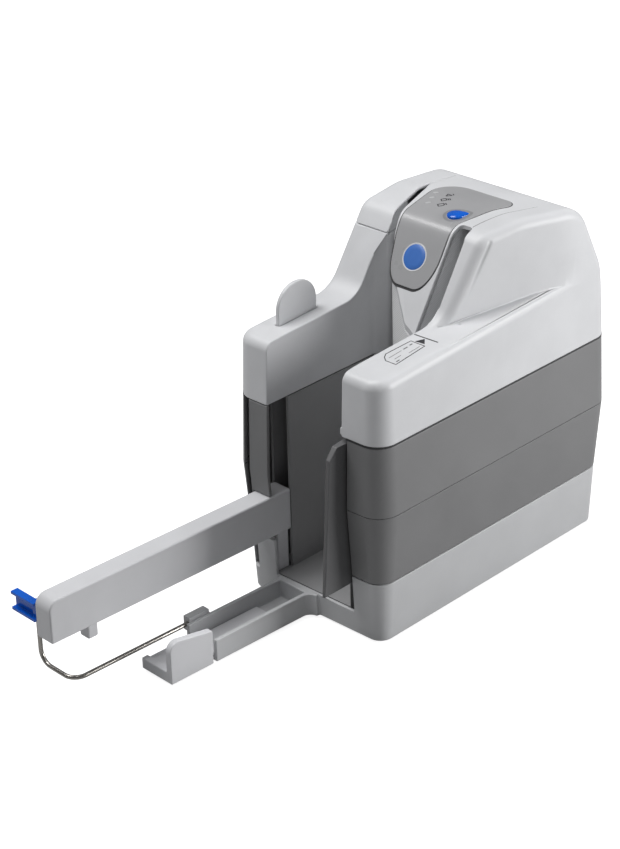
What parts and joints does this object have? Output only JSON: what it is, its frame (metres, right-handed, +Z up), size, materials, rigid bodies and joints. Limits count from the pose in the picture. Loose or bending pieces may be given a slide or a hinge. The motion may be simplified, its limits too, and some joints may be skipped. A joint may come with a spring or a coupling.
{
  "type": "cheque scanner",
  "caption": "Upright desk scanner for cheques and pages, with an open feed bay, pull-out tray, exit arm with a sliding wire stop, hinged rear cap and top button.",
  "frame": {"origin": "on the table under the middle of the outer box", "axes": "+Z up, +X from the tray end to the tall end, +Y from the front side to the rear side"},
  "size_m": [0.4142, 0.1594, 0.2479],
  "materials": {
    "cover_white": "fine satin",
    "base_grey": "fine satin",
    "band_grey": "fine texture",
    "flag_dark": "fine texture",
    "guide_grey": "smooth",
    "panel_grey": "satin",
    "signal_blue": "gloss",
    "lamp_clear": "gloss",
    "steel": "drawn wire",
    "foot_rubber": "matt",
    "roller_rubber": "matt",
    "roller_plastic": "smooth",
    "bar_black": "smooth",
    "clear_glass": "clear",
    "board_green": "solder mask",
    "belt_black": "matt"
  },
  "bodies": {
    "housing": {"base_housing": "base_grey", "lower_band": "band_grey", "upper_band": "band_grey", "main_cover": "cover_white", "rear_housing": "cover_white", "cap_hinge_pins": "steel", "track_floor": "guide_grey", "island_guide": "guide_grey", "outer_guide": "guide_grey", "entry_guide": "guide_grey", "end_post": "band_grey", "return_guide": "guide_grey", "bay_wall": "guide_grey", "bearing_plate": "steel", "separator_pin": "steel", "front_pinch_pin": "steel", "rear_pinch_pin": "steel", "motor": "steel", "drive_belt": "belt_black", "front_image_bar": "bar_black", "front_glass": "clear_glass", "island_image_bar": "bar_black", "island_glass": "clear_glass", "magnetic_head": "steel", "ink_cartridge": "bar_black", "ink_cradle": "roller_plastic", "circuit_board": "board_green", "power_inlet": "bar_black", "data_socket": "bar_black", "panel_board": "board_green", "control_panel": "panel_grey", "lamp_windows": "lamp_clear", "panel_badge": "signal_blue", "flag_pin": "steel", "exit_arm": "base_grey", "wire_guide": "base_grey", "rear_tab": "cover_white", "rubber_feet": "foot_rubber", "base_screws": "steel"},
    "cap": {"rear_cap": "cover_white"},
    "flag": {"mouth_flag": "flag_dark"},
    "tray_end": {"tray_extension": "base_grey"},
    "stop": {"stop_wire": "steel", "document_stop": "signal_blue"},
    "button": {"feed_button": "signal_blue"},
    "feed_drive": {"feed_shaft": "roller_plastic", "feed_tyres": "roller_rubber"},
    "front_drive": {"front_drive_shaft": "roller_plastic", "front_drive_tyres": "roller_rubber"},
    "rear_drive": {"rear_drive_shaft": "roller_plastic", "rear_drive_tyres": "roller_rubber"},
    "separator": {"separator_roller": "roller_rubber"},
    "front_pinch": {"front_pinch_roller": "roller_plastic"},
    "rear_pinch": {"rear_pinch_roller": "roller_plastic"},
    "motor_rotor": {"motor_pulley": "roller_plastic"}
  },
  "joints": [
    {"name": "cap_hinge", "type": "hinge", "parent": "housing", "child": "cap", "pos_m": [0.12714, 0.04817, 0.2292], "axis": [-1, 0, 0], "range_deg": [0, 95]},
    {"name": "flag_hinge", "type": "hinge", "parent": "housing", "child": "flag", "pos_m": [-0.01786, -0.04623, 0.09], "axis": [0, 0, -1], "range_deg": [0, 50], "stiffness_Nm_per_rad": 0.02, "springref_deg": -11.46},
    {"name": "tray_slide", "type": "slide", "parent": "housing", "child": "tray_end", "axis": [-0.9988, 0.0485, 0], "range_m": [0, 0.05]},
    {"name": "stop_slide", "type": "slide", "parent": "housing", "child": "stop", "axis": [0.9988, -0.0485, 0], "range_m": [0, 0.055]},
    {"name": "button_press", "type": "slide", "parent": "housing", "child": "button", "axis": [0, 0, -1], "range_m": [0, 0.001], "stiffness_N_per_m": 800, "springref_m": -0.001},
    {"name": "feed_spin", "type": "hinge", "parent": "housing", "child": "feed_drive", "pos_m": [0.08914, -0.02893, 0.08], "axis": [0, 0, 1], "continuous": true},
    {"name": "front_drive_spin", "type": "hinge", "parent": "housing", "child": "front_drive", "pos_m": [0.12714, -0.02893, 0.08], "axis": [0, 0, 1], "continuous": true},
    {"name": "rear_drive_spin", "type": "hinge", "parent": "housing", "child": "rear_drive", "pos_m": [0.13714, 0.01597, 0.08], "axis": [0, 0, 1], "continuous": true},
    {"name": "separator_spin", "type": "hinge", "parent": "housing", "child": "separator", "pos_m": [0.08914, -0.04323, 0.08], "axis": [0, 0, 1], "continuous": true},
    {"name": "front_pinch_spin", "type": "hinge", "parent": "housing", "child": "front_pinch", "pos_m": [0.12714, -0.04323, 0.08], "axis": [0, 0, 1], "continuous": true},
    {"name": "rear_pinch_spin", "type": "hinge", "parent": "housing", "child": "rear_pinch", "pos_m": [0.13714, 0.03027, 0.08], "axis": [0, 0, 1], "continuous": true},
    {"name": "motor_spin", "type": "hinge", "parent": "housing", "child": "motor_rotor", "pos_m": [0.18664, -0.03033, 0.08], "axis": [0, 0, 1], "continuous": true}
  ],
  "couplings": [
    {"joint": "front_drive_spin", "follows": "feed_spin", "ratio": 1},
    {"joint": "rear_drive_spin", "follows": "feed_spin", "ratio": 1},
    {"joint": "motor_spin", "follows": "feed_spin", "ratio": 1.3333},
    {"joint": "separator_spin", "follows": "feed_spin", "ratio": -1.3333},
    {"joint": "front_pinch_spin", "follows": "feed_spin", "ratio": -1.3333},
    {"joint": "rear_pinch_spin", "follows": "feed_spin", "ratio": -1.3333}
  ]
}
